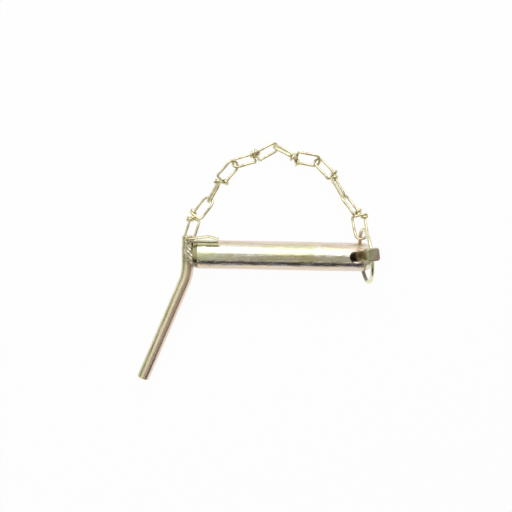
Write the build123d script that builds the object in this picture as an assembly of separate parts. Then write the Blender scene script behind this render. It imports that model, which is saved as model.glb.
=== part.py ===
from build123d import *
import os
from math import atan, cos, degrees, radians, sin, sqrt, tan

# A top link pin: a turned steel bar with a bent handle rod welded across one end,
# a spring-ring linch pin through the other end, and a chain of knotted wire links
# that ties the linch pin to a split pin in the handle, so that it is never lost.
# X runs along the bar's axis from the welded end to the nose, and Z points up
# from the surface that the pin lies on. The origin is the centre of the welded end.

os.makedirs("parts", exist_ok=True)

# Bar
BAR_DIAMETER = 25.0
BAR_LENGTH = 154.0
NOSE_LENGTH = 4.8
NOSE_DROP = 2.2
WELD_PREP_LENGTH = 4.0
WELD_PREP_DROP = 1.2
CROSS_HOLE_FROM_NOSE = 12.8
CROSS_HOLE_DIAMETER = 11.6
HOLE_BEVEL = 0.6

# Handle rod, straight past the bar and then bent away from it
ROD_DIAMETER = 10.7
ROD_PAST_BAR = 16.3
ROD_STRAIGHT_BELOW = 17.5
ROD_LOWER_LENGTH = 102.0
ROD_BEND = 22.7
ROD_BEND_RADIUS = 42.0
ROD_BEVEL = 0.8
ROD_ROLL = 4.7
EYE_HOLE_ABOVE_BAR = 11.7
EYE_HOLE_DIAMETER = 4.6

# Weld beads between the rod's flanks and the bar's end
BEAD_RADIUS = 3.0
BEAD_RIPPLE = 0.45
BEAD_RIPPLES = 8
BEAD_LENGTH = 20.0
BEAD_OFF_AXIS = 5.0
BEAD_SET_BACK = 1.0
BEAD_OFF_CENTRE = 2.0
BEAD_LEAN = 8.0

# Split pin of half-round wire
SPLIT_RADIUS = 1.95
SPLIT_GAP = 0.1
SPLIT_EYE_INNER = 2.5
SPLIT_EYE_STANDOFF = 0.15
SPLIT_LEG_LENGTH = 27.3
SPLIT_BEND_RADIUS = 3.2
SPLIT_LEG_DROP = 1.85
SPLIT_KNEE = 19.5
SPLIT_KNEE_BEND = 9.0
SPLIT_BULGES = (2.7, 0.7)
SPLIT_TIP_OFFSET = 0.35

# Chain of double-loop links, each one bent and knotted from one wire
WIRE_DIAMETER = 2.3
LINK_PITCH = 39.8
LOOP_WIDTH = 10.6
RING_LOOP_WIDTH = 12.8
LOOP_OVERLAP = 1.7
LOOP_TAPER = 3.2
LOOP_CLOSING = 1.6
LOOP_SHOULDER = 2.6
NECK_BEND = 2.2
KNOT_BEND_RADIUS = 8.0
WIRE_CLEARANCE = 0.2
KNOT_REACH = 1.36
PRONG_LENGTH = 2.4
HEADINGS = (63.5, 56.5, 23.5, -18.0, -54.0, -67.6)
CLIMBS = (-1.1, -0.4, 0.0, 0.7, 6.4, 13.6)
KNOT_BENDS = (10.5, 6.0, -6.0, -8.5, 6.5, 13.5)
OUTER_ROLLS = (14.0, 85.0, -38.0, 126.0, -38.0, 145.0)
INNER_ROLLS = (-42.0, 30.0, 52.0, 30.0, 85.0, 5.0)

# Linch pin and its spring ring
SHANK_DIAMETER = 8.8
SHANK_LENGTH = 30.0
SHANK_TIP_LENGTH = 3.5
SHANK_TIP_DIAMETER = 5.4
NECK_LENGTH = 7.5
HEAD_SIZE = 10.7
HEAD_HEIGHT = 10.0
HEAD_OFFSET = 4.6
HEAD_ROUNDING = 2.4
HEAD_FOOT_INSET = 0.5
LINCH_LEAN = 5.6
LINCH_SIDE_LEAN = 2.6
LINCH_TURN = 7.0
RING_WIRE = 3.2
RING_DIAMETER = 48.7
RING_PIVOT_DROP = 0.45
RING_HOLE_DIAMETER = 4.0
RING_STUB_GAP = 1.0
RING_STUB_BEND = 8.0
RING_TO_BAR = 0.5
RING_HANG = 6.5

bar_radius = BAR_DIAMETER / 2
rod_radius = ROD_DIAMETER / 2
wire_radius = WIRE_DIAMETER / 2
ring_radius = (RING_DIAMETER - RING_WIRE) / 2
cross_hole_x = BAR_LENGTH - CROSS_HOLE_FROM_NOSE


def turned(*outline):
    """A solid of revolution about X from (x, radius) points, closed on its axis."""
    points = [(outline[0][0], 0), *outline, (outline[-1][0], 0)]
    face = make_face(Polyline(*points, close=True))
    return revolve(face, Axis.X, 360)


def bar():
    """The turned bar, with its tapered nose and the bevelled cross hole."""
    nose_start = BAR_LENGTH - NOSE_LENGTH
    body = turned(
        (0, bar_radius - WELD_PREP_DROP),
        (WELD_PREP_LENGTH, bar_radius),
        (nose_start, bar_radius),
        (BAR_LENGTH, bar_radius - NOSE_DROP),
    )
    hole_radius = CROSS_HOLE_DIAMETER / 2
    hole = Cylinder(hole_radius, BAR_DIAMETER * 2)
    flare = 3 * HOLE_BEVEL
    sink = Cone(hole_radius + flare, hole_radius, flare)
    mouth = Pos(0, 0, bar_radius + HOLE_BEVEL - flare / 2) * Rot(180, 0, 0) * sink
    cutter = hole + mouth + Rot(180, 0, 0) * mouth
    return body - Pos(cross_hole_x, 0, 0) * cutter


def rod_path():
    """The centre line of the handle rod, from its end beside the split pin to its lower end."""
    corner = Vector(-rod_radius, -ROD_STRAIGHT_BELOW)
    lower = corner + Vector(0, -ROD_LOWER_LENGTH).rotate(Axis.Z, -ROD_BEND)
    return FilletPolyline((-rod_radius, ROD_PAST_BAR), corner, lower, radius=ROD_BEND_RADIUS)


def handle_rod():
    """The bent rod, with both ends bevelled and the split pin's hole."""
    path = rod_path()
    rod = sweep(Plane(path @ 0, z_dir=path % 0) * Circle(rod_radius), path)
    ends = rod.faces().filter_by(GeomType.PLANE).edges()
    rod = chamfer(ends, ROD_BEVEL)
    hole = split_hole() * Cylinder(EYE_HOLE_DIAMETER / 2, ROD_DIAMETER * 2)
    return Rot(ROD_ROLL, 0, 0) * rod - hole


def split_hole():
    """The middle of the split pin's upright hole, on the rolled rod's centre line."""
    return Pos(-rod_radius, EYE_HOLE_ABOVE_BAR, EYE_HOLE_ABOVE_BAR * tan(radians(ROD_ROLL)))


def weld_bead(side, neighbours):
    """One rippled bead in the corner between the rod's flank and the bar's end."""
    step = BEAD_LENGTH / BEAD_RIPPLES
    lines = []
    for n in range(BEAD_RIPPLES):
        left, right = n * step, (n + 1) * step
        top = BEAD_RADIUS + BEAD_RIPPLE
        lines.append(ThreePointArc((left, BEAD_RADIUS), (left + step * 0.55, top), (right, BEAD_RADIUS)))
    lines.append(Polyline((BEAD_LENGTH, BEAD_RADIUS), (BEAD_LENGTH, 0), (0, 0), (0, BEAD_RADIUS)))
    bead = revolve(make_face(lines), Axis.X, 360)
    bead = Rot(0, 0, 90 - BEAD_LEAN) * Pos(-BEAD_LENGTH / 2, 0, 0) * bead
    bead = Pos(-BEAD_SET_BACK, -BEAD_OFF_CENTRE, side * BEAD_OFF_AXIS) * bead
    for solid in neighbours:
        bead = bead - solid
    return bead.solids().sort_by(SortBy.VOLUME)[-1]


def half_round():
    """Half of the split pin's round section, with its flat along the sketch's Y axis."""
    disc = Circle(SPLIT_RADIUS)
    cut = Pos(-SPLIT_RADIUS + SPLIT_GAP / 2, 0) * Rectangle(2 * SPLIT_RADIUS, 3 * SPLIT_RADIUS)
    return disc - cut


def split_pin():
    """The split pin: an eye below the rod and two legs bent over towards the bar."""
    eye_radius = SPLIT_EYE_INNER
    eye_drop = rod_radius + SPLIT_EYE_STANDOFF + eye_radius + SPLIT_RADIUS
    section = Plane.XZ * Pos(0, eye_radius) * Rot(0, 0, 90) * half_round()
    eye = Pos(0, 0, -eye_drop) * revolve(section, Axis.X, 360)
    rise = bar_radius - SPLIT_LEG_DROP
    start = -eye_drop + eye_radius + SPLIT_RADIUS * 0.5
    legs = []
    for side, bulge in zip((1, -1), SPLIT_BULGES):
        points = [
            (0, 0, start), (0, 0, rise), (SPLIT_KNEE, side * bulge, rise),
            (SPLIT_LEG_LENGTH, side * SPLIT_TIP_OFFSET, rise),
        ]
        bend = FilletPolyline(*points, radius=[SPLIT_BEND_RADIUS, SPLIT_KNEE_BEND])
        profile = Plane((0, 0, start), x_dir=(0, side, 0), z_dir=(0, 0, 1)) * half_round()
        legs.append(sweep(profile, bend))
    pin = eye + legs[0] + legs[1]
    return split_hole() * pin, eye_drop


def first_pivot(eye_drop):
    """The chain's first pivot, with the first loop's round end about the eye's wire."""
    wall = SPLIT_EYE_INNER + SPLIT_RADIUS / 2
    seat = (split_hole() * Pos(0, wall, -eye_drop)).position
    heading = radians(HEADINGS[0]) + atan(sin(radians(KNOT_BENDS[0])))
    return seat - Vector(cos(heading), sin(heading), 0) * (loop_end(LOOP_WIDTH) - LOOP_OVERLAP)


def loop_end(width):
    """The radius of a loop's round end, along the middle of its wire."""
    return 0.97 * (width - WIRE_DIAMETER) / 2


def link_frames(start):
    """A frame at each link's first pivot, X towards the next one, and the last pivot."""
    frames, at = [], Vector(*start)
    for heading, climb in zip(HEADINGS, CLIMBS):
        flat = cos(radians(climb))
        ahead = Vector(flat * cos(radians(heading)), flat * sin(radians(heading)), sin(radians(climb)))
        side = Vector(0, 0, 1).cross(ahead)
        frames.append(Plane(at, x_dir=ahead, z_dir=ahead.cross(side)))
        at = at + ahead * LINK_PITCH
    return frames, at


def loop_points(pivot, knot, roll, forward, width):
    """Wire points of one loop, from its prong round the knot and the loop to the knot again."""
    along = (knot - pivot).normalized()
    across = Vector(0, 0, 1).cross(along) * forward
    wide = across * cos(radians(roll)) + Vector(0, 0, 1) * sin(radians(roll))
    normal = along.cross(wide)
    coil = WIRE_DIAMETER + WIRE_CLEARANCE
    half = (width - WIRE_DIAMETER) / 2
    neck = (knot - pivot).length - KNOT_REACH * coil
    step = coil / 4

    def at(s, w, n):
        return pivot + along * s + wide * w + normal * n

    return [
        at(neck + 3.4 * step, coil + PRONG_LENGTH, -coil),
        at(neck + 2.4 * step, -coil, -coil),
        at(neck + 1.4 * step, -coil, coil),
        at(neck + 0.2 * step, coil, coil),
        at(neck - LOOP_TAPER, half, 0),
        at(-LOOP_OVERLAP, half, 0),
        at(-LOOP_OVERLAP, -half, 0),
        at(neck - 0.8 * coil - LOOP_CLOSING, -half, 0),
        at(neck - 0.8 * coil, 0, 0),
    ]


def link_path(outer_roll, inner_roll, knot_bend, inner_width):
    """The centre line of one link's wire, in the link's own frame."""
    coil = WIRE_DIAMETER + WIRE_CLEARANCE
    knot = Vector(LINK_PITCH / 2, LINK_PITCH / 2 * sin(radians(knot_bend)), 0)
    first = loop_points(Vector(0, 0, 0), knot, outer_roll, 1, LOOP_WIDTH)
    second = loop_points(Vector(LINK_PITCH, 0, 0), knot, inner_roll, -1, inner_width)
    points = first + [knot] + second[::-1]
    bends = []
    for width in (LOOP_WIDTH, inner_width):
        end = loop_end(width)
        bends.append([0.9 * coil] * 3 + [LOOP_SHOULDER, end, end, LOOP_SHOULDER, NECK_BEND])
    return FilletPolyline(*points, radius=bends[0] + [KNOT_BEND_RADIUS] + bends[1][::-1])


def chain_link(frame, outer_roll, inner_roll, knot_bend, inner_width):
    """One knotted double-loop link, swept along its wire and placed on its pivots."""
    path = link_path(outer_roll, inner_roll, knot_bend, inner_width)
    wire = sweep(Plane(path @ 0, z_dir=path % 0) * Circle(wire_radius), path)
    return frame.location * wire


def linch_seat():
    """Where the linch pin leans in the cross hole, with Z up its shank."""
    lean = Rot(-LINCH_SIDE_LEAN, LINCH_LEAN, 0)
    return Pos(cross_hole_x, 0, 0) * lean * Rot(0, 0, LINCH_TURN)


def pivot_height():
    """How far the ring's pivot stands above the bar's axis, with the ring under the bar."""
    return 2 * ring_radius - RING_PIVOT_DROP - RING_WIRE / 2 - RING_TO_BAR - bar_radius


def linch_pin():
    """The linch pin: a tapered shank, a forged neck and a head drilled for the ring."""
    pivot = pivot_height()
    shoulder = pivot - HEAD_HEIGHT / 2
    neck = shoulder - NECK_LENGTH
    tip = neck - SHANK_LENGTH
    radius = SHANK_DIAMETER / 2
    foot = HEAD_SIZE - 2 * HEAD_FOOT_INSET
    outline = Polyline(
        (0, tip), (SHANK_TIP_DIAMETER / 2, tip), (radius, tip + SHANK_TIP_LENGTH), (radius, neck), (0, neck),
        close=True,
    )
    shank = revolve(Plane.XZ * make_face(outline), Axis.Z, 360)
    flare = loft([
        Plane((0, 0, neck)) * RectangleRounded(SHANK_DIAMETER, SHANK_DIAMETER, radius * 0.98),
        Plane((HEAD_OFFSET, 0, shoulder)) * RectangleRounded(foot, foot, HEAD_ROUNDING),
    ])
    head = Pos(HEAD_OFFSET, 0, pivot) * Box(HEAD_SIZE, HEAD_SIZE, HEAD_HEIGHT)
    head = fillet(head.edges().filter_by(Axis.Z), HEAD_ROUNDING)
    head = fillet(head.faces().sort_by(Axis.Z)[-1].edges(), HEAD_ROUNDING * 0.45)
    drill = Pos(HEAD_OFFSET, 0, pivot) * Rot(90, 0, 0) * Cylinder(RING_HOLE_DIAMETER / 2, HEAD_SIZE * 2)
    core = Pos(HEAD_OFFSET, 0, pivot) * Rot(90, 0, 0) * Cylinder(RING_HOLE_DIAMETER, RING_STUB_GAP)
    return linch_seat() * (shank + flare + head - (drill - core))


def ring_path():
    """The spring ring's wire: a nearly full circle with both ends turned inwards."""
    drop = ring_radius - RING_PIVOT_DROP
    reach = sqrt(ring_radius**2 - drop**2)
    side = degrees(atan(reach / drop))
    hoop = CenterArc((0, -drop), ring_radius, 90 + side, 360 - 2 * side)
    left = Line((-RING_STUB_GAP, 0), hoop @ 0)
    right = Line(hoop @ 1, (RING_STUB_GAP, 0))
    wire = Wire([left, hoop, right])
    corners = [v for v in wire.vertices() if 2 * RING_STUB_GAP < abs(v.X)]
    return wire.fillet_2d(RING_STUB_BEND, corners)


def spring_ring():
    """The spring ring, with both ends in the head's holes."""
    path = Pos(0, 0, pivot_height()) * Rot(0, -RING_HANG, 0) * Plane.YZ.location * ring_path()
    section = Plane(path @ 0, z_dir=path % 0) * Circle(RING_WIRE / 2)
    return linch_seat() * Pos(HEAD_OFFSET, 0, 0) * sweep(section, path)


def build():
    """Every piece by name, in assembly order."""
    pieces = {"bar": bar(), "handle_rod": handle_rod()}
    pieces["split_pin"], eye_drop = split_pin()
    for name, side in (("weld_bead_front", 1), ("weld_bead_back", -1)):
        pieces[name] = weld_bead(side, (pieces["bar"], pieces["handle_rod"]))
    frames, end = link_frames(first_pivot(eye_drop))
    widths = [LOOP_WIDTH] * (len(frames) - 1) + [RING_LOOP_WIDTH]
    shapes = zip(frames, OUTER_ROLLS, INNER_ROLLS, KNOT_BENDS, widths)
    for number, (frame, outer, inner, bend, width) in enumerate(shapes, 1):
        pieces[f"chain_link_{number}"] = chain_link(frame, outer, inner, bend, width)
    pieces["linch_pin"] = linch_pin()
    pieces["spring_ring"] = spring_ring()
    return pieces


for name, piece in build().items():
    export_step(piece, f"parts/{name}.step")
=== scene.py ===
"""A top link pin dressed as yellow zinc plate, laid out as an add-on and run as a script."""

import math

import bmesh
import bpy
from mathutils import Matrix, Vector, noise


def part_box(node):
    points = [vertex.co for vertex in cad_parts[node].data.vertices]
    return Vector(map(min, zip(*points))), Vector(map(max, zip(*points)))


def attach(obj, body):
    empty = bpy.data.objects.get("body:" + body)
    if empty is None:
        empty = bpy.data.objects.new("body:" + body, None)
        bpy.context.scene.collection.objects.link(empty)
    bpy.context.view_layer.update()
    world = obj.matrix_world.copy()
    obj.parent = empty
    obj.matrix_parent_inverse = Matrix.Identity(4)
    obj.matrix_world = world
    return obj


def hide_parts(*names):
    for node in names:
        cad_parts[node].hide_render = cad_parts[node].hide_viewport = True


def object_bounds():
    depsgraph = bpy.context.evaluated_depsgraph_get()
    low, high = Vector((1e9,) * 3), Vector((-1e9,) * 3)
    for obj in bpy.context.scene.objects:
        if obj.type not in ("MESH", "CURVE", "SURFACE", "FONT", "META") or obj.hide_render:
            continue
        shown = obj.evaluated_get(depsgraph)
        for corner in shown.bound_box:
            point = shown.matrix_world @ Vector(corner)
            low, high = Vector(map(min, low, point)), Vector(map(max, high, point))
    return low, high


bl_info = {
    "name": "Top link pin",
    "version": (1, 0, 0),
    "blender": (4, 5, 0),
    "location": "View3D > Sidebar > Link Pin",
    "description": "Plates a welded top link pin, its linch pin and its chain",
    "category": "Object",
}

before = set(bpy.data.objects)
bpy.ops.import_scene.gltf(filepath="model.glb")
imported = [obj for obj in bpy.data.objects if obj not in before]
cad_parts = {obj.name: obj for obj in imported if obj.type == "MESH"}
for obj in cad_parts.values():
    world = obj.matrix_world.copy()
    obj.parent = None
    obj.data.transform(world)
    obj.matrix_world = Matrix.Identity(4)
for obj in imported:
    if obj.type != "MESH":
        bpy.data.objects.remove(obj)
cad_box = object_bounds()
MM = 0.001
UP = Vector((0, 0, 1))

# Places on the solids that the colours and the weld follow.
BAR_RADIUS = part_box("bar")[1].z
FLOOR_Z = cad_box[0][2]
HOLE_FROM_TIP = 12.8 * MM
HOLE_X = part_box("bar")[1].x - HOLE_FROM_TIP
ROD_TURN = math.radians(22.7)
ROD_BEND_Y = -14 * MM
ROD_REACH = 100 * MM
LINCH_LEAN = math.radians(5.6)

# Colours that only one kind of piece shows: film colours, painted shade on the bar's end bevel,
# the cross hole's rim, the rod's left side, the ring under the bar and the shank in the hole, and
# painted light in the bore.
BEVEL_SHADE_OLIVE = (0.34, 0.31, 0.15)
RIM_SHADE_OLIVE = (0.40, 0.34, 0.13)
BORE_LIT_GOLD = (0.86, 0.66, 0.34)
ROD_STRAW = (0.86, 0.84, 0.63)
ROD_SHADE_OLIVE = (0.27, 0.28, 0.13)
WIRE_STRAW = (0.84, 0.80, 0.56)
UNDER_BAR_SHADE_BROWN = (0.42, 0.28, 0.13)
RING_SHADE = (0.14, 0.115, 0.07)
LEG_OLIVE = (0.36, 0.32, 0.15)
HEAD_GREEN = (0.41, 0.42, 0.29)
HEAD_MAUVE = (0.50, 0.36, 0.34)
SHANK_GOLD = (0.58, 0.44, 0.20)
HOLE_SHADOW_DARK = (0.05, 0.035, 0.02)

# The weld beads: their middle across the bar, in mm, how finely they are made, how blunt
# their ends and their ripples are, and the height in mm of the lumps and grain on them.
BEAD_MIDDLE = (-1.7, -0.4)
BEAD_STEPS = 140
BEAD_TURNS = 48
BEAD_BLUNTNESS = 0.28
RIPPLE_BLUNTNESS = 0.6
BEAD_LUMP = 0.5
BEAD_GRAIN = 0.14

# The run of weld metal on the rod, and the pit at its lower end, in mm.
RUN_CENTRE = (-6.0, 0.6, 4.45)
RUN_SIZE = (2.5, 9.4, 1.25)
RUN_LEAN = math.radians(7)
RUN_LUMP = 0.6
RUN_GRAIN = 0.14
PIT_CENTRE = (-7.6, -5.2, 5.6)
PIT_RADIUS = 2.1
PIT_DEPTH = 1.5

# Each drop of spatter: its place and its radius, in mm.
DROPS = (
    (14.3, -9.6, 7.9, 0.75), (4.6, -6.2, 10.8, 0.5), (6.8, 3.1, 12.1, 0.4),
    (-9.2, 5.6, 3.6, 0.5), (-3.4, 10.4, 5.9, 0.6), (-7.9, -10.3, 4.2, 0.45),
    (5.5, -9.6, -7.9, 0.55), (-8.6, 3.4, -3.9, 0.5),
)
DROP_STRETCH = 1.35
DROP_LUMP = 0.5

# Each link: its first pivot in mm, heading, climb, the knot's swing off the line
# between the pivots, and the turn of its first and its second loop, in degrees.
LINK_SHAPES = (
    ((-5.998, 12.942, -8.988), 63.5, -1.1, 10.5, 194.0, 162.0),
    ((11.758, 48.553, -9.752), 56.5, -0.4, 6.0, 265.0, 28.0),
    ((33.724, 81.741, -10.030), 23.5, 0.0, -6.0, 148.0, 230.0),
    ((70.223, 97.611, -10.030), -18.0, 0.7, -8.5, 298.0, 30.0),
    ((108.072, 85.313, -9.544), -54.0, 6.4, 6.5, 150.0, 265.0),
    ((131.321, 53.315, -5.107), -67.6, 13.6, 13.5, 133.0, 185.0),
)

# A loop's knot, in wire diameters. It is made round the loop's closing strand, at a
# base that stands back from the middle of the link's knot.
KNOT_BACK = 0.6
PRONG_BACK, PRONG_OUT, PRONG_UP = 1.1, 1.0, 0.85
WRAP_QUARTERS = (5, 4, 3, 2, 1)
WRAP_RADIUS = 1.38
WRAP_STEP = 0.26
CROSSING_UP = 0.6
CORNER_UP = 0.4
CLOSING_BACK = 1.6
HOOK_AHEAD, HOOK_DOWN = 0.35, 0.1
TURN_AHEAD, TURN_DOWN = 0.5, 0.7

# A loop's bends, in halves of the width between the middles of its strands.
SHOULDER = 0.7
END_BEND = 1.9
TURN_IN = 0.45

# How finely the wire's mesh is made, along its curve and round it.
WIRE_CUTS = 8
WIRE_ROUNDS = 5

# What the metal reflects. Each panel: its centre and its size in metres, its turn in
# degrees about an axis, and its colour.
PANEL_COLOURS = {
    "dark": (0.06, 0.045, 0.06), "grey": (0.40, 0.38, 0.30), "pale": (1.0, 1.0, 0.92),
    "olive": (0.24, 0.22, 0.14), "rust": (0.30, 0.25, 0.20),
}
PANELS = (
    ("low_panel", (0, -1.35, 0.62), (6.0, 1.20), 90, "X", "dark"),
    ("high_panel", (0, -0.52, 1.32), (6.0, 1.36), 5, "X", "grey"),
    ("right_top_panel", (1.0, 0.35, 1.15), (1.1, 0.9), 0, "X", "grey"),
    ("left_top_panel", (-0.72, -0.15, 1.25), (1.10, 1.3), 0, "X", "pale"),
    ("left_panel", (-1.40, 0, 0.34), (0.62, 6.0), 90, "Y", "olive"),
    ("right_panel", (1.40, 0, 0.80), (1.3, 6.0), 90, "Y", "rust"),
)
SOFTBOX_PLACE = (0.3, 1.0, 1.25)
SOFTBOX_AIM = (0.05, 0, 0)
SOFTBOX_SIZE = (2.4, 1.3)
FLOOR_RADIUS = 12
FLOOR_GREY = 0.94
SENSOR_WIDTH = 36
CLIP_START = 0.01


def tint(name, description, default):
    """A colour setting."""
    return bpy.props.FloatVectorProperty(
        name=name, description=description, subtype="COLOR", size=3, default=default,
        min=0, max=1)


def millimetres(name, description, default, low, high):
    """A length setting, given in mm."""
    return bpy.props.FloatProperty(
        name=name, description=description, subtype="DISTANCE", unit="LENGTH",
        default=default * MM, min=low * MM, max=high * MM)


class LinkPinPlating(bpy.types.PropertyGroup):
    """The colours and the wear of the zinc plate."""

    gold: tint("Gold", "The plate's main straw colour", (0.84, 0.79, 0.54))
    green: tint("Green", "The plate where its film looks green", (0.70, 0.76, 0.48))
    pink: tint("Pink", "The plate where its film looks pink", (0.84, 0.67, 0.57))
    silver: tint("Silver", "The plate where its film is thin", (0.88, 0.88, 0.84))
    # Brown also paints the shade between the weld's ripples.
    brown: tint("Brown", "Stain in the chain, the shank and beside the weld", (0.34, 0.24, 0.11))
    roughness: bpy.props.FloatProperty(
        name="Roughness", description="How dull the bright bar is", default=0.2, min=0, max=1)


class LinkPinWeld(bpy.types.PropertyGroup):
    """The sizes of the weld between the bar and its handle."""

    radius: millimetres("Bead radius", "Half the bead's width", 4.2, 1, 5)
    length: millimetres("Bead length", "The bead from end to end", 21.0, 8, 25)
    ripples: bpy.props.IntProperty(
        name="Ripples", description="How many ripples the bead has", default=4, min=2, max=30)
    twist: bpy.props.IntProperty(
        name="Twist", description="How many ripples the pattern climbs round the bead",
        default=-6, min=-9, max=9)
    ripple_height: millimetres("Ripple height", "How far each ripple stands up", 0.95, 0, 1.5)
    lean: bpy.props.FloatProperty(
        name="Lean", description="The bead's turn away from across the bar",
        subtype="ANGLE", unit="ROTATION", default=math.radians(17), min=0, max=0.6)
    off_axis: millimetres("Height", "How far the bead's middle is from the bar's axis", 5.3, 0, 12)


class LinkPinChain(bpy.types.PropertyGroup):
    """The sizes of the chain's wire links."""

    wire: millimetres("Wire", "The wire's diameter", 2.3, 1, 5)
    pitch: millimetres("Pitch", "From one end loop's pivot to the other's", 39.8, 20, 60)
    loop_width: millimetres("Loop width", "A loop's width over its wire", 12.2, 8, 16)
    eye_loop_width: millimetres(
        "Eye loop width", "The width of the loop on the split pin's eye", 10.9, 8, 16)
    ring_loop_width: millimetres(
        "Ring loop width", "The width of the loop that holds the spring ring", 12.8, 8, 16)
    overlap: millimetres("Overlap", "How far a loop's round end passes its pivot", 1.7, 0, 4)


class LinkPinStudio(bpy.types.PropertyGroup):
    """The camera, the floor and the light."""

    height: millimetres("Camera height", "The camera above the bar's axis", 429.7, 100, 2000)
    look_x: millimetres("Camera X", "Where along the bar the camera looks", 54.4, -1000, 1000)
    look_y: millimetres("Camera Y", "Where across the bar the camera looks", -0.7, -1000, 1000)
    turn: bpy.props.FloatProperty(
        name="Camera turn", description="The camera's turn about its own axis",
        subtype="ANGLE", unit="ROTATION", default=math.radians(1.043), min=-1, max=1)
    view_width: millimetres(
        "View width", "How much of the bar's level fits across the picture", 449, 100, 2000)
    softbox: bpy.props.FloatProperty(
        name="Softbox", description="The brightness of the large softbox",
        default=1.45, min=0, max=10)
    sky: bpy.props.FloatProperty(
        name="Sky", description="The brightness of the plain light all round",
        default=0.62, min=0, max=5)
    floor_glow: bpy.props.FloatProperty(
        name="Floor glow", description="How much of the floor's shadow is lifted to white",
        subtype="FACTOR", default=0.96, min=0, max=1)


def settings(name):
    """One of this add-on's groups of values."""
    return getattr(bpy.context.scene, name)


def new_object(name, bm):
    """A mesh object made from bm, smooth, with its normals outwards."""
    bmesh.ops.remove_doubles(bm, verts=bm.verts, dist=0.001 * MM)
    bmesh.ops.recalc_face_normals(bm, faces=bm.faces)
    mesh = bpy.data.meshes.new(name)
    bm.to_mesh(mesh)
    bm.free()
    mesh.shade_smooth()
    piece = bpy.data.objects.new(name, mesh)
    bpy.context.scene.collection.objects.link(piece)
    return piece


class Nodes:
    """A material's node tree, built one node at a time."""

    def __init__(self, name):
        self.material = bpy.data.materials.new(name)
        self.material.use_nodes = True
        self.tree = self.material.node_tree
        self.shader = self.tree.nodes["Principled BSDF"]
        self.place = self.tree.nodes.new("ShaderNodeTexCoord").outputs["Object"]

    def feed(self, socket, value):
        """Links value to socket, or sets it there."""
        if isinstance(value, bpy.types.NodeSocket):
            self.tree.links.new(value, socket)
        else:
            socket.default_value = value

    def stretched(self, scale, turn=0.0):
        """Object coordinates, turned about Z and stretched."""
        node = self.tree.nodes.new("ShaderNodeMapping")
        self.feed(node.inputs["Vector"], self.place)
        node.inputs["Rotation"].default_value = (0, 0, turn)
        node.inputs["Scale"].default_value = scale
        return node.outputs["Vector"]

    def noise(self, where, scale, detail=3.0, roughness=0.5, distortion=0.0):
        """Noise from 0 to 1."""
        node = self.tree.nodes.new("ShaderNodeTexNoise")
        self.feed(node.inputs["Vector"], where)
        node.inputs["Scale"].default_value = scale
        node.inputs["Detail"].default_value = detail
        node.inputs["Roughness"].default_value = roughness
        node.inputs["Distortion"].default_value = distortion
        return node.outputs["Fac"]

    def ramp(self, value, *stops):
        """A colour ramp of (position, colour) stops."""
        node = self.tree.nodes.new("ShaderNodeValToRGB")
        self.feed(node.inputs["Fac"], value)
        for spare in list(node.color_ramp.elements)[1:]:
            node.color_ramp.elements.remove(spare)
        for number, (position, colour) in enumerate(stops):
            if number:
                stop = node.color_ramp.elements.new(position)
            else:
                stop = node.color_ramp.elements[0]
                stop.position = position
            stop.color = (*colour, 1)
        return node.outputs["Color"]

    def between(self, value, low, high, new_low=0.0, new_high=1.0):
        """value moved from one range to another, and kept in it."""
        node = self.tree.nodes.new("ShaderNodeMapRange")
        self.feed(node.inputs["Value"], value)
        node.inputs["From Min"].default_value = low
        node.inputs["From Max"].default_value = high
        node.inputs["To Min"].default_value = new_low
        node.inputs["To Max"].default_value = new_high
        return node.outputs["Result"]

    def calc(self, kind, first, second):
        """The math node of that kind on two values."""
        node = self.tree.nodes.new("ShaderNodeMath")
        node.operation = kind
        self.feed(node.inputs[0], first)
        self.feed(node.inputs[1], second)
        return node.outputs["Value"]

    def measure(self, kind, where, fixed):
        """The vector math node of that kind on a place and a fixed vector."""
        node = self.tree.nodes.new("ShaderNodeVectorMath")
        node.operation = kind
        self.feed(node.inputs[0], where)
        node.inputs[1].default_value = fixed
        return node.outputs["Value"]

    def mix(self, share, first, second):
        """Two colours mixed."""
        node = self.tree.nodes.new("ShaderNodeMix")
        node.data_type = "RGBA"
        self.feed(node.inputs["Factor"], share)
        for name, colour in (("A", first), ("B", second)):
            if not isinstance(colour, bpy.types.NodeSocket):
                colour = (*colour, 1)
            sockets = [i for i in node.inputs if i.name == name and i.type == "RGBA"]
            self.feed(sockets[0], colour)
        return [o for o in node.outputs if o.type == "RGBA"][0]

    def split(self):
        """The object coordinates one by one."""
        node = self.tree.nodes.new("ShaderNodeSeparateXYZ")
        self.feed(node.inputs["Vector"], self.place)
        return node.outputs["X"], node.outputs["Y"], node.outputs["Z"]

    def near(self, centre, reach, ragged):
        """1 round a point of the object, falling to 0 at reach, with a ragged edge."""
        rough = self.between(self.noise(self.place, 420), 0, 1, -ragged, ragged)
        distance = self.calc("ADD", self.measure("DISTANCE", self.place, centre), rough)
        return self.between(distance, reach, reach * 0.45)

    def dulled(self, low, high, scale, detail=4, where=None):
        """A roughness that drifts between low and high."""
        return self.between(self.noise(where or self.place, scale, detail), 0.3, 0.7, low, high)

    def bump(self, height, strength, distance, under=None):
        """A bump node's normal."""
        node = self.tree.nodes.new("ShaderNodeBump")
        node.inputs["Strength"].default_value = strength
        node.inputs["Distance"].default_value = distance
        self.feed(node.inputs["Height"], height)
        if under is not None:
            self.feed(node.inputs["Normal"], under)
        return node.outputs["Normal"]

    def metal(self, colour, roughness, normal):
        """Finishes the shader as bare plated metal."""
        self.shader.inputs["Metallic"].default_value = 1.0
        self.feed(self.shader.inputs["Base Color"], colour)
        self.feed(self.shader.inputs["Roughness"], roughness)
        self.feed(self.shader.inputs["Normal"], normal)
        return self.material


def film(nodes, where, scale, shift=0.0, thin=None):
    """The plate's film: patches of green, straw, silver and pink that run into each other."""
    plate = settings("link_pin_plating")
    patches = nodes.noise(where, scale, detail=4, roughness=0.55, distortion=0.6)
    return nodes.ramp(
        nodes.calc("ADD", patches, shift), (0.30, plate.green), (0.42, plate.gold),
        (0.50, thin or plate.silver), (0.58, plate.gold), (0.70, plate.pink))


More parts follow.
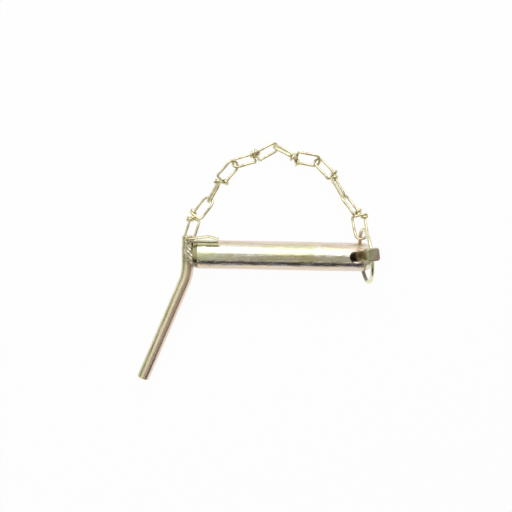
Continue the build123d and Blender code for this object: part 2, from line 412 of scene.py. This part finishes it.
def plated_bar():
    """The bar's plate: drawn lines along it, pink flanks and a stain at the weld, painted shade on
    its end bevel and round the cross hole's rim, and painted light in the bore.
    """
    plate = settings("link_pin_plating")
    nodes = Nodes("bar_zinc")
    x, y, _ = nodes.split()
    along = nodes.stretched((0.16, 1, 1))
    colour = film(nodes, along, 90)

    flank = nodes.calc("ABSOLUTE", y, 0.0)
    flank = nodes.between(flank, 0.55 * BAR_RADIUS, 0.98 * BAR_RADIUS)
    patchy = nodes.between(nodes.noise(along, 60), 0.25, 0.6, 0.25, 0.9)
    colour = nodes.mix(nodes.calc("MULTIPLY", flank, patchy), colour, plate.pink)

    lines = nodes.noise(nodes.stretched((0.025, 1, 1)), 900, detail=4, roughness=0.6)
    colour = nodes.mix(nodes.between(lines, 0.35, 0.62, 0.0, 0.26), colour, plate.brown)
    specks = nodes.noise(nodes.stretched((0.3, 1, 1)), 800, detail=5, roughness=0.65)
    colour = nodes.mix(nodes.between(specks, 0.6, 0.72, 0.0, 0.45), colour, plate.brown)

    beside_weld = nodes.between(x, 7 * MM, -1 * MM)
    patchy = nodes.between(nodes.noise(nodes.place, 260), 0.35, 0.6)
    stain = nodes.calc("MULTIPLY", nodes.calc("MULTIPLY", beside_weld, patchy), 0.55)
    colour = nodes.mix(stain, colour, plate.brown)
    green_end = nodes.calc(
        "MULTIPLY", nodes.between(x, 26 * MM, 4 * MM, 0.0, 0.7),
        nodes.between(y, -9 * MM, -6 * MM))
    colour = nodes.mix(green_end, colour, plate.green)
    # Painted shade: the end bevel is painted darker olive, standing in for the darker surroundings
    # its tilted face reflects.
    ragged = nodes.noise(nodes.place, 330, detail=4)
    ragged = nodes.calc("ADD", x, nodes.between(ragged, 0.2, 0.8, -0.5 * MM, 0.5 * MM))
    bevel = nodes.between(ragged, 4.4 * MM, 3.8 * MM, 0.0, 0.85)
    colour = nodes.mix(bevel, colour, BEVEL_SHADE_OLIVE)

    # Painted shade in olive on the chamfered rim round the cross hole, and painted light: the
    # bore's wall is painted bright gold for its lit inner wall.
    from_hole = nodes.measure("DISTANCE", nodes.stretched((1, 1, 0)), (HOLE_X, 0, 0))
    rim_shade = nodes.between(from_hole, 6.5 * MM, 6.1 * MM, 0.0, 0.85)
    colour = nodes.mix(rim_shade, colour, RIM_SHADE_OLIVE)
    lit_bore = nodes.between(from_hole, 6.0 * MM, 5.85 * MM)
    colour = nodes.mix(lit_bore, colour, BORE_LIT_GOLD)

    dull = nodes.noise(nodes.stretched((0.2, 1, 1)), 240, detail=5, roughness=0.6)
    dull = nodes.between(dull, 0.3, 0.75, plate.roughness - 0.06, plate.roughness + 0.14)
    waves = nodes.noise(nodes.stretched((0.09, 1, 1)), 210)
    normal = nodes.bump(waves, 0.5, 0.10 * MM)
    flecks = nodes.noise(nodes.stretched((0.22, 1, 1)), 620, detail=5, roughness=0.62)
    normal = nodes.bump(nodes.between(flecks, 0.5, 0.72), 0.9, 0.09 * MM, normal)
    normal = nodes.bump(lines, 0.3, 0.035 * MM, normal)
    return nodes.metal(colour, dull, normal)


def plated_rod():
    """The handle's plate: mottled, painted shade in olive on its left, pink on its right, brown at
    the weld.
    """
    plate = settings("link_pin_plating")
    nodes = Nodes("rod_zinc")
    x, y, _ = nodes.split()
    along = nodes.stretched((1, 0.22, 1), ROD_TURN)
    colour = film(nodes, along, 130, -0.08, ROD_STRAW)
    lines = nodes.noise(nodes.stretched((1, 0.04, 1), ROD_TURN), 800, detail=4, roughness=0.6)
    colour = nodes.mix(nodes.between(lines, 0.35, 0.65, 0.0, 0.3), colour, plate.brown)

    # The rod's middle runs one radius off the bar's end, and further off past the bend.
    low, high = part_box("handle_rod")
    radius = (high.z - low.z) / 2
    past_bend = nodes.between(y, ROD_BEND_Y, ROD_BEND_Y - ROD_REACH, 0.0, ROD_REACH)
    drift = nodes.calc("MULTIPLY", past_bend, math.tan(ROD_TURN))
    across = nodes.calc("ADD", nodes.calc("ADD", x, drift), radius)
    # Painted shade: the rod's left side is painted dark olive.
    olive = nodes.between(across, -0.15 * radius, -0.7 * radius, 0.0, 0.92)
    colour = nodes.mix(olive, colour, ROD_SHADE_OLIVE)
    blush = nodes.between(across, 0.3 * radius, 0.8 * radius, 0.0, 0.85)
    colour = nodes.mix(blush, colour, plate.pink)

    stain = nodes.near((-2 * MM, -1 * MM, 4 * MM), 15 * MM, 3 * MM)
    patchy = nodes.between(nodes.noise(nodes.place, 330, detail=4), 0.4, 0.6, 0.1, 0.7)
    colour = nodes.mix(nodes.calc("MULTIPLY", stain, patchy), colour, plate.brown)
    dull = nodes.dulled(plate.roughness + 0.02, plate.roughness + 0.2, 260, where=along)
    normal = nodes.bump(nodes.noise(nodes.place, 420, detail=4), 0.35, 0.08 * MM)
    normal = nodes.bump(lines, 0.3, 0.03 * MM, normal)
    return nodes.metal(colour, dull, normal)


def plated_wire():
    """The chain's straw-coloured plate, with brown where the film is thick."""
    plate = settings("link_pin_plating")
    nodes = Nodes("wire_zinc")
    colour = film(nodes, nodes.place, 75, -0.02, WIRE_STRAW)
    brown = nodes.noise(nodes.place, 160, detail=4, roughness=0.6)
    colour = nodes.mix(nodes.between(brown, 0.44, 0.64, 0.0, 0.6), colour, plate.brown)
    dull = nodes.dulled(plate.roughness, plate.roughness + 0.16, 500)
    normal = nodes.bump(nodes.noise(nodes.place, 900, detail=4), 0.35, 0.05 * MM)
    return nodes.metal(colour, dull, normal)


def plated_spring():
    """The spring ring's plate, with painted shade in brown-gold where the ring passes under the
    bar, near black towards -Y.
    """
    nodes = Nodes("spring_zinc")
    _, y, z = nodes.split()
    colour = film(nodes, nodes.place, 75, -0.02, WIRE_STRAW)
    # Painted shade: low on the ring, under the bar, the plate is painted brown, turning near black
    # towards -Y.
    edge = nodes.between(nodes.noise(nodes.place, 170, detail=4), 0, 1, -4 * MM, 4 * MM)
    under = nodes.between(nodes.calc("ADD", z, edge), 7 * MM, 1 * MM, 0.0, 0.85)
    below_bar = nodes.between(y, 4 * MM, -8 * MM)
    colour = nodes.mix(under, colour, nodes.mix(below_bar, UNDER_BAR_SHADE_BROWN, RING_SHADE))
    dull = nodes.dulled(0.18, 0.34, 500)
    normal = nodes.bump(nodes.noise(nodes.place, 900, detail=4), 0.35, 0.05 * MM)
    return nodes.metal(colour, dull, normal)


def plated_split():
    """The split pin's plate, with one leg browner than the other."""
    nodes = Nodes("split_zinc")
    _, y, _ = nodes.split()
    colour = film(nodes, nodes.place, 75, -0.04, WIRE_STRAW)
    low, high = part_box("split_pin")
    middle = (low.y + high.y) / 2
    far_leg = nodes.between(y, middle - 0.3 * MM, middle + 1.1 * MM, 0.3, 0.8)
    patchy = nodes.between(nodes.noise(nodes.place, 240, detail=4), 0.3, 0.6, 0.35, 1.0)
    colour = nodes.mix(nodes.calc("MULTIPLY", far_leg, patchy), colour, LEG_OLIVE)
    dull = nodes.dulled(0.2, 0.36, 500)
    normal = nodes.bump(nodes.noise(nodes.place, 900, detail=4), 0.4, 0.06 * MM)
    return nodes.metal(colour, dull, normal)


def plated_linch():
    """The linch pin: golden brown shank with a painted shadow where it sits in the cross hole,
    grey-green crown that turns mauve to the right.
    """
    plate = settings("link_pin_plating")
    nodes = Nodes("linch_zinc")
    x, _, _ = nodes.split()
    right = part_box("linch_pin")[1].x
    ragged = nodes.between(nodes.noise(nodes.place, 150), 0, 1, -3 * MM, 3 * MM)
    side = nodes.calc("ADD", x, ragged)
    mauve = nodes.between(side, right - 6.5 * MM, right + 1 * MM)
    top = nodes.mix(mauve, HEAD_GREEN, HEAD_MAUVE)
    brown = nodes.between(nodes.noise(nodes.place, 190, detail=4), 0.35, 0.65)
    shank = nodes.mix(brown, SHANK_GOLD, plate.brown)
    # Painted shadow: the shank is painted near black where it sits in the bar's cross hole.
    hole_shadow = nodes.between(side, HOLE_X + 3.4 * MM, HOLE_X - 0.4 * MM, 0.0, 0.78)
    shank = nodes.mix(hole_shadow, shank, HOLE_SHADOW_DARK)

    axis = Vector((math.sin(LINCH_LEAN), 0, math.cos(LINCH_LEAN)))
    crown = max(vert.co.dot(axis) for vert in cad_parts["linch_pin"].data.vertices)
    height = nodes.measure("DOT_PRODUCT", nodes.place, axis)
    on_crown = nodes.between(height, crown - 2.0 * MM, crown - 1.2 * MM)
    colour = nodes.mix(on_crown, shank, top)
    dull = nodes.dulled(0.26, 0.48, 300, detail=5)
    normal = nodes.noise(nodes.place, 240, detail=5, roughness=0.6)
    normal = nodes.bump(normal, 0.5, 0.18 * MM)
    return nodes.metal(colour, dull, normal)


def plated_weld():
    """The weld's plate: painted highlights in pale green and silver on the crests, and painted
    shade in brown between the ripples.
    """
    plate = settings("link_pin_plating")
    nodes = Nodes("weld")
    geometry = nodes.tree.nodes.new("ShaderNodeNewGeometry")
    # Pointiness picks the crests for a painted highlight, and the hollows between the ripples keep
    # the brown as painted shade.
    crest_highlight = nodes.between(geometry.outputs["Pointiness"], 0.46, 0.54)
    patch = nodes.noise(nodes.place, 520, detail=4, roughness=0.6)
    patch = nodes.between(patch, 0.35, 0.62)
    bright = nodes.mix(patch, plate.green, plate.silver)
    crest_highlight = nodes.calc("MULTIPLY", crest_highlight, nodes.between(patch, 0, 1, 0.55, 1.0))
    colour = nodes.mix(crest_highlight, plate.brown, bright)
    dull = nodes.dulled(0.22, 0.5, 700)
    grain = nodes.noise(nodes.place, 1100, detail=5, roughness=0.6)
    return nodes.metal(colour, dull, nodes.bump(grain, 0.45, 0.16 * MM))


def dress(name, material):
    """Gives a CAD node a material."""
    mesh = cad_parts[name].data
    mesh.materials.clear()
    mesh.materials.append(material)


def plain_bead(bm, weld, start, direction):
    """A plain bead with rounded ends, spun about its own axis."""
    first = bm.verts.new(start)
    last = bm.verts.new(start + direction * weld.length)
    edge = bm.edges.new((first, last))
    bmesh.ops.subdivide_edges(bm, edges=[edge], cuts=BEAD_STEPS)
    outward = direction.cross(UP).normalized()
    for vert in bm.verts:
        share = (vert.co - start).length / weld.length
        end = math.sin(math.pi * min(max(share, 0), 1)) ** BEAD_BLUNTNESS
        vert.co += outward * weld.radius * end
    bmesh.ops.spin(
        bm, geom=bm.verts[:] + bm.edges[:], cent=start, axis=direction,
        angle=math.tau, steps=BEAD_TURNS, use_merge=True)


def weld_bead(name, side):
    """One bead of the weld, with ripples that climb round it, over its CAD solid."""
    weld = settings("link_pin_weld")
    bm = bmesh.new()
    direction = Vector((-math.sin(weld.lean), math.cos(weld.lean), 0))
    across = direction.cross(UP).normalized()
    middle = Vector((BEAD_MIDDLE[0] * MM, BEAD_MIDDLE[1] * MM, side * weld.off_axis))
    start = middle - direction * weld.length / 2
    plain_bead(bm, weld, start, direction)
    for vert in bm.verts:
        along = (vert.co - start).dot(direction)
        out = vert.co - start - direction * along
        reach = out.length / weld.radius
        angle = math.atan2(out.z * side, out.dot(across))
        phase = weld.ripples * along / weld.length + weld.twist * angle / math.tau
        ripple = abs(math.sin(math.pi * phase)) ** RIPPLE_BLUNTNESS - 1
        lump = noise.noise(vert.co * 260 + Vector((side * 7, 0, 0)))
        grain = noise.noise(vert.co * 900)
        rise = weld.ripple_height * ripple + (lump * BEAD_LUMP + grain * BEAD_GRAIN) * MM
        vert.co += out.normalized() * rise * min(reach, 1)
    return new_object(name, bm)


def weld_run():
    """The low run of weld metal on the rod's upper side, with a pit at its lower end."""
    bm = bmesh.new()
    bmesh.ops.create_icosphere(bm, subdivisions=6, radius=1)
    centre = Vector(RUN_CENTRE) * MM
    size = Vector(RUN_SIZE) * MM
    pit = Vector(PIT_CENTRE) * MM
    lean = Matrix.Rotation(RUN_LEAN, 3, "Z")
    for vert in bm.verts:
        place = centre + lean @ Vector([a * b for a, b in zip(vert.co, size)])
        lump = noise.noise(place * 210) * RUN_LUMP + noise.noise(place * 640) * RUN_GRAIN
        place += vert.co * lump * MM
        dip = max(0, 1 - (place - pit).length / (PIT_RADIUS * MM))
        place.z -= PIT_DEPTH * MM * dip
        vert.co = place
    return new_object("weld_run", bm)


def spatter():
    """Small drops thrown from the weld, stuck to the rod and the bar."""
    bm = bmesh.new()
    for x, y, z, radius in DROPS:
        made = bmesh.ops.create_icosphere(bm, subdivisions=3, radius=radius * MM)
        for vert in made["verts"]:
            vert.co.y *= DROP_STRETCH
            vert.co += vert.co * noise.noise(vert.co * 900 + Vector((x, y, z))) * DROP_LUMP
            vert.co += Vector((x, y, z)) * MM
    return new_object("weld_spatter", bm)


def loop_route(pivot, knot, roll, forward, width):
    """Control points of one loop's wire: its prong, the wrap, the loop and back to the knot."""
    chain = settings("link_pin_chain")
    wire = chain.wire
    half = (width - wire) / 2
    end = chain.overlap
    line = knot - pivot
    along = line.normalized()
    flat = UP.cross(along) * forward
    wide = flat * math.cos(roll) + UP * math.sin(roll)
    normal = along.cross(wide)
    base = line.length - KNOT_BACK * wire

    def at(ahead, out, up):
        return pivot + along * ahead + wide * out + normal * up

    route = [at(base - PRONG_BACK * wire, -half - PRONG_OUT * wire, PRONG_UP * wire)]
    for quarter in WRAP_QUARTERS:
        angle = math.radians(90 * quarter)
        route.append(at(
            base - WRAP_STEP * wire * (quarter - 1),
            -half + WRAP_RADIUS * wire * math.cos(angle),
            WRAP_RADIUS * wire * math.sin(angle)))
    route += [
        at(base, 0, CROSSING_UP * wire), at(base, half, CORNER_UP * wire),
        at(base - SHOULDER * half, half, 0),
        at(END_BEND * half, half, 0), at(-end, half, 0),
        at(-end, -half, 0), at(END_BEND * half, -half, 0),
        at(base - CLOSING_BACK * wire, -half, 0),
        at(base + HOOK_AHEAD * wire, -half, -HOOK_DOWN * wire),
        at(base + TURN_AHEAD * wire, -TURN_IN * half, -TURN_DOWN * wire),
    ]
    return route


def bent_wire(route, diameter):
    """The mesh of a round wire along control points, with flat ends."""
    curve = bpy.data.curves.new("wire", "CURVE")
    curve.dimensions = "3D"
    curve.resolution_u = WIRE_CUTS
    curve.bevel_depth = diameter / 2
    curve.bevel_resolution = WIRE_ROUNDS
    curve.use_fill_caps = True
    spline = curve.splines.new("NURBS")
    spline.points.add(len(route) - 1)
    for point, place in zip(spline.points, route):
        point.co = (*place, 1)
    spline.order_u = 3
    spline.use_endpoint_u = True
    shape = bpy.data.objects.new("wire", curve)
    mesh = bpy.data.meshes.new_from_object(shape)
    bm = bmesh.new()
    bm.from_mesh(mesh)
    bpy.data.objects.remove(shape)
    bpy.data.curves.remove(curve)
    bpy.data.meshes.remove(mesh)
    return bm


def knotted_link(number):
    """One link of the chain: a single wire with a loop each way and a knot between them."""
    chain = settings("link_pin_chain")
    pivot, *angles = LINK_SHAPES[number - 1]
    heading, climb, swing, first_roll, second_roll = map(math.radians, angles)
    start = Vector(pivot) * MM
    ahead = Vector((
        math.cos(climb) * math.cos(heading), math.cos(climb) * math.sin(heading),
        math.sin(climb)))
    side = UP.cross(ahead).normalized()
    turned = Matrix((ahead, side, ahead.cross(side))).transposed()
    half = chain.pitch / 2
    knot = Vector((half, half * math.sin(swing), 0))
    first_width = chain.eye_loop_width if number == 1 else chain.loop_width
    last = number == len(LINK_SHAPES)
    second_width = chain.ring_loop_width if last else chain.loop_width
    first = loop_route(Vector(), knot, first_roll, 1, first_width)
    second = loop_route(Vector((chain.pitch, 0, 0)), knot, second_roll, -1, second_width)
    route = [start + turned @ point for point in first + [knot] + second[::-1]]
    return new_object(f"link_{number}", bent_wire(route, chain.wire))


class LINKPIN_OT_bar(bpy.types.Operator):
    """Plates the turned bar"""

    bl_idname = "link_pin.bar"
    bl_label = "Bar"

    def execute(self, context):
        dress("bar", plated_bar())
        return {"FINISHED"}


class LINKPIN_OT_handle(bpy.types.Operator):
    """Plates the bent handle rod"""

    bl_idname = "link_pin.handle"
    bl_label = "Handle rod"

    def execute(self, context):
        dress("handle_rod", plated_rod())
        return {"FINISHED"}


class LINKPIN_OT_weld(bpy.types.Operator):
    """Builds the rippled weld beads, the run on the rod and the spatter"""

    bl_idname = "link_pin.weld"
    bl_label = "Weld"

    def execute(self, context):
        material = plated_weld()
        beads = (("weld_front", "weld_bead_front", 1), ("weld_back", "weld_bead_back", -1))
        pieces = []
        for name, node, side in beads:
            piece = weld_bead(name, side)
            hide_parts(node)
            pieces.append(piece)
        pieces += [weld_run(), spatter()]
        for piece in pieces:
            piece.data.materials.append(material)
            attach(piece, "pin")
        return {"FINISHED"}


class LINKPIN_OT_split_pin(bpy.types.Operator):
    """Plates the split pin"""

    bl_idname = "link_pin.split_pin"
    bl_label = "Split pin"

    def execute(self, context):
        dress("split_pin", plated_split())
        return {"FINISHED"}


class LINKPIN_OT_chain(bpy.types.Operator):
    """Bends and plates the chain's knotted links"""

    bl_idname = "link_pin.chain"
    bl_label = "Chain"

    def execute(self, context):
        material = plated_wire()
        for number in range(1, len(LINK_SHAPES) + 1):
            piece = knotted_link(number)
            piece.data.materials.append(material)
            node = f"chain_link_{number}"
            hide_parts(node)
            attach(piece, node)
        return {"FINISHED"}


class LINKPIN_OT_linch_pin(bpy.types.Operator):
    """Plates the linch pin and its spring ring"""

    bl_idname = "link_pin.linch_pin"
    bl_label = "Linch pin and ring"

    def execute(self, context):
        dress("linch_pin", plated_linch())
        dress("spring_ring", plated_spring())
        return {"FINISHED"}


def emptied_tree(owner):
    """The node tree of a material or a world, with nothing in it."""
    owner.use_nodes = True
    owner.node_tree.nodes.clear()
    return owner.node_tree


def glowing(name, colour):
    """A material that gives off plain light."""
    material = bpy.data.materials.new(name)
    tree = emptied_tree(material)
    glow = tree.nodes.new("ShaderNodeEmission")
    glow.inputs["Color"].default_value = (*colour, 1)
    out = tree.nodes.new("ShaderNodeOutputMaterial")
    tree.links.new(glow.outputs["Emission"], out.inputs["Surface"])
    return material


def seen_plainly(tree):
    """1 for rays from the camera, from a gloss or through glass."""
    path = tree.nodes.new("ShaderNodeLightPath")
    result = path.outputs["Is Camera Ray"]
    for name in ("Is Glossy Ray", "Is Transmission Ray"):
        larger = tree.nodes.new("ShaderNodeMath")
        larger.operation = "MAXIMUM"
        tree.links.new(result, larger.inputs[0])
        tree.links.new(path.outputs[name], larger.inputs[1])
        result = larger.outputs["Value"]
    return result


def send_mixed(tree, share, first, second, output):
    """Mixes two shaders and links them to a new output node."""
    mix = tree.nodes.new("ShaderNodeMixShader")
    tree.links.new(share, mix.inputs["Fac"])
    tree.links.new(first, mix.inputs[1])
    tree.links.new(second, mix.inputs[2])
    out = tree.nodes.new(output)
    tree.links.new(mix.outputs["Shader"], out.inputs["Surface"])


def floor_material(studio):
    """A pale floor that reads as white and keeps a soft shadow."""
    material = bpy.data.materials.new("pale_floor")
    tree = emptied_tree(material)
    matt = tree.nodes.new("ShaderNodeBsdfDiffuse")
    matt.inputs["Color"].default_value = (FLOOR_GREY, FLOOR_GREY, FLOOR_GREY, 1)
    glow = tree.nodes.new("ShaderNodeEmission")
    share = tree.nodes.new("ShaderNodeMath")
    share.operation = "MULTIPLY"
    tree.links.new(seen_plainly(tree), share.inputs[0])
    share.inputs[1].default_value = studio.floor_glow
    send_mixed(
        tree, share.outputs["Value"], matt.outputs["BSDF"], glow.outputs["Emission"],
        "ShaderNodeOutputMaterial")
    return material


def world_light(studio):
    """White for what the camera and a gloss see, and a lower even light for the rest."""
    world = bpy.data.worlds.new("studio")
    bpy.context.scene.world = world
    tree = emptied_tree(world)
    plain = tree.nodes.new("ShaderNodeBackground")
    plain.inputs["Strength"].default_value = studio.sky
    white = tree.nodes.new("ShaderNodeBackground")
    for shade in (plain, white):
        shade.inputs["Color"].default_value = (1, 1, 1, 1)
    send_mixed(
        tree, seen_plainly(tree), plain.outputs["Background"], white.outputs["Background"],
        "ShaderNodeOutputWorld")


def floor(studio):
    """The round floor that the pin lies on."""
    bm = bmesh.new()
    bmesh.ops.create_circle(bm, cap_ends=True, segments=96, radius=FLOOR_RADIUS)
    bmesh.ops.translate(bm, vec=(0, 0, FLOOR_Z), verts=bm.verts)
    ground = new_object("floor", bm)
    ground.data.materials.append(floor_material(studio))


def panel(name, centre, size, turn, about, material):
    """A flat studio panel, seen only in reflections and by its light."""
    bm = bmesh.new()
    bmesh.ops.create_grid(bm, x_segments=1, y_segments=1, size=0.5)
    bmesh.ops.scale(bm, vec=(*size, 1), verts=bm.verts)
    bmesh.ops.rotate(bm, matrix=Matrix.Rotation(turn, 3, about), verts=bm.verts)
    bmesh.ops.translate(bm, vec=centre, verts=bm.verts)
    card = new_object(name, bm)
    card.data.materials.append(material)
    card.visible_camera = False
    card.visible_shadow = False


def softbox(studio):
    """The large softbox on the chain's side, aimed at the bar."""
    light = bpy.data.lights.new("softbox", "AREA")
    light.shape = "RECTANGLE"
    light.size, light.size_y = SOFTBOX_SIZE
    light.energy = studio.softbox * math.pi * light.size * light.size_y
    box = bpy.data.objects.new("softbox", light)
    bpy.context.scene.collection.objects.link(box)
    box.location = SOFTBOX_PLACE
    aim = Vector(SOFTBOX_AIM) - box.location
    box.rotation_euler = aim.to_track_quat("-Z", "Y").to_euler()


def camera(studio):
    """The camera that looks straight down on the bar."""
    lens = bpy.data.cameras.new("camera")
    lens.sensor_width = SENSOR_WIDTH
    lens.lens = lens.sensor_width * studio.height / studio.view_width
    lens.clip_start = CLIP_START
    viewer = bpy.data.objects.new("camera", lens)
    bpy.context.scene.collection.objects.link(viewer)
    viewer.location = (studio.look_x, studio.look_y, studio.height)
    viewer.rotation_euler = (0, 0, studio.turn)
    bpy.context.scene.camera = viewer


class LINKPIN_OT_stage(bpy.types.Operator):
    """Lays the floor, hangs the panels and the softbox and sets up the camera"""

    bl_idname = "link_pin.stage"
    bl_label = "Studio"

    def execute(self, context):
        studio = settings("link_pin_studio")
        context.scene.view_settings.view_transform = "Standard"
        world_light(studio)
        floor(studio)
        glows = {name: glowing(f"{name}_panel", tone) for name, tone in PANEL_COLOURS.items()}
        for name, centre, size, turn, about, tone in PANELS:
            panel(name, centre, size, math.radians(turn), about, glows[tone])
        softbox(studio)
        camera(studio)
        return {"FINISHED"}


PIECES = (
    LINKPIN_OT_bar, LINKPIN_OT_handle, LINKPIN_OT_weld, LINKPIN_OT_split_pin,
    LINKPIN_OT_chain, LINKPIN_OT_linch_pin, LINKPIN_OT_stage,
)
GROUPS = (
    ("link_pin_plating", LinkPinPlating),
    ("link_pin_weld", LinkPinWeld),
    ("link_pin_chain", LinkPinChain),
    ("link_pin_studio", LinkPinStudio),
)


class LINKPIN_PT_panel(bpy.types.Panel):
    """The link pin's sizes, colours and build steps"""

    bl_idname = "LINKPIN_PT_panel"
    bl_label = "Link Pin"
    bl_space_type = "VIEW_3D"
    bl_region_type = "UI"
    bl_category = "Link Pin"

    def draw(self, context):
        for name, group in GROUPS:
            column = self.layout.column(align=True)
            for key in group.__annotations__:
                column.prop(getattr(context.scene, name), key)
        for piece in PIECES:
            self.layout.operator(piece.bl_idname)


def register():
    for name, group in GROUPS:
        bpy.utils.register_class(group)
        setattr(bpy.types.Scene, name, bpy.props.PointerProperty(type=group))
    for piece in (*PIECES, LINKPIN_PT_panel):
        bpy.utils.register_class(piece)


def unregister():
    for piece in reversed((*PIECES, LINKPIN_PT_panel)):
        bpy.utils.unregister_class(piece)
    for name, group in reversed(GROUPS):
        delattr(bpy.types.Scene, name)
        bpy.utils.unregister_class(group)


def main():
    register()
    for piece in PIECES:
        prefix, name = piece.bl_idname.split(".")
        getattr(getattr(bpy.ops, prefix), name)()


if __name__ == "__main__":
    main()
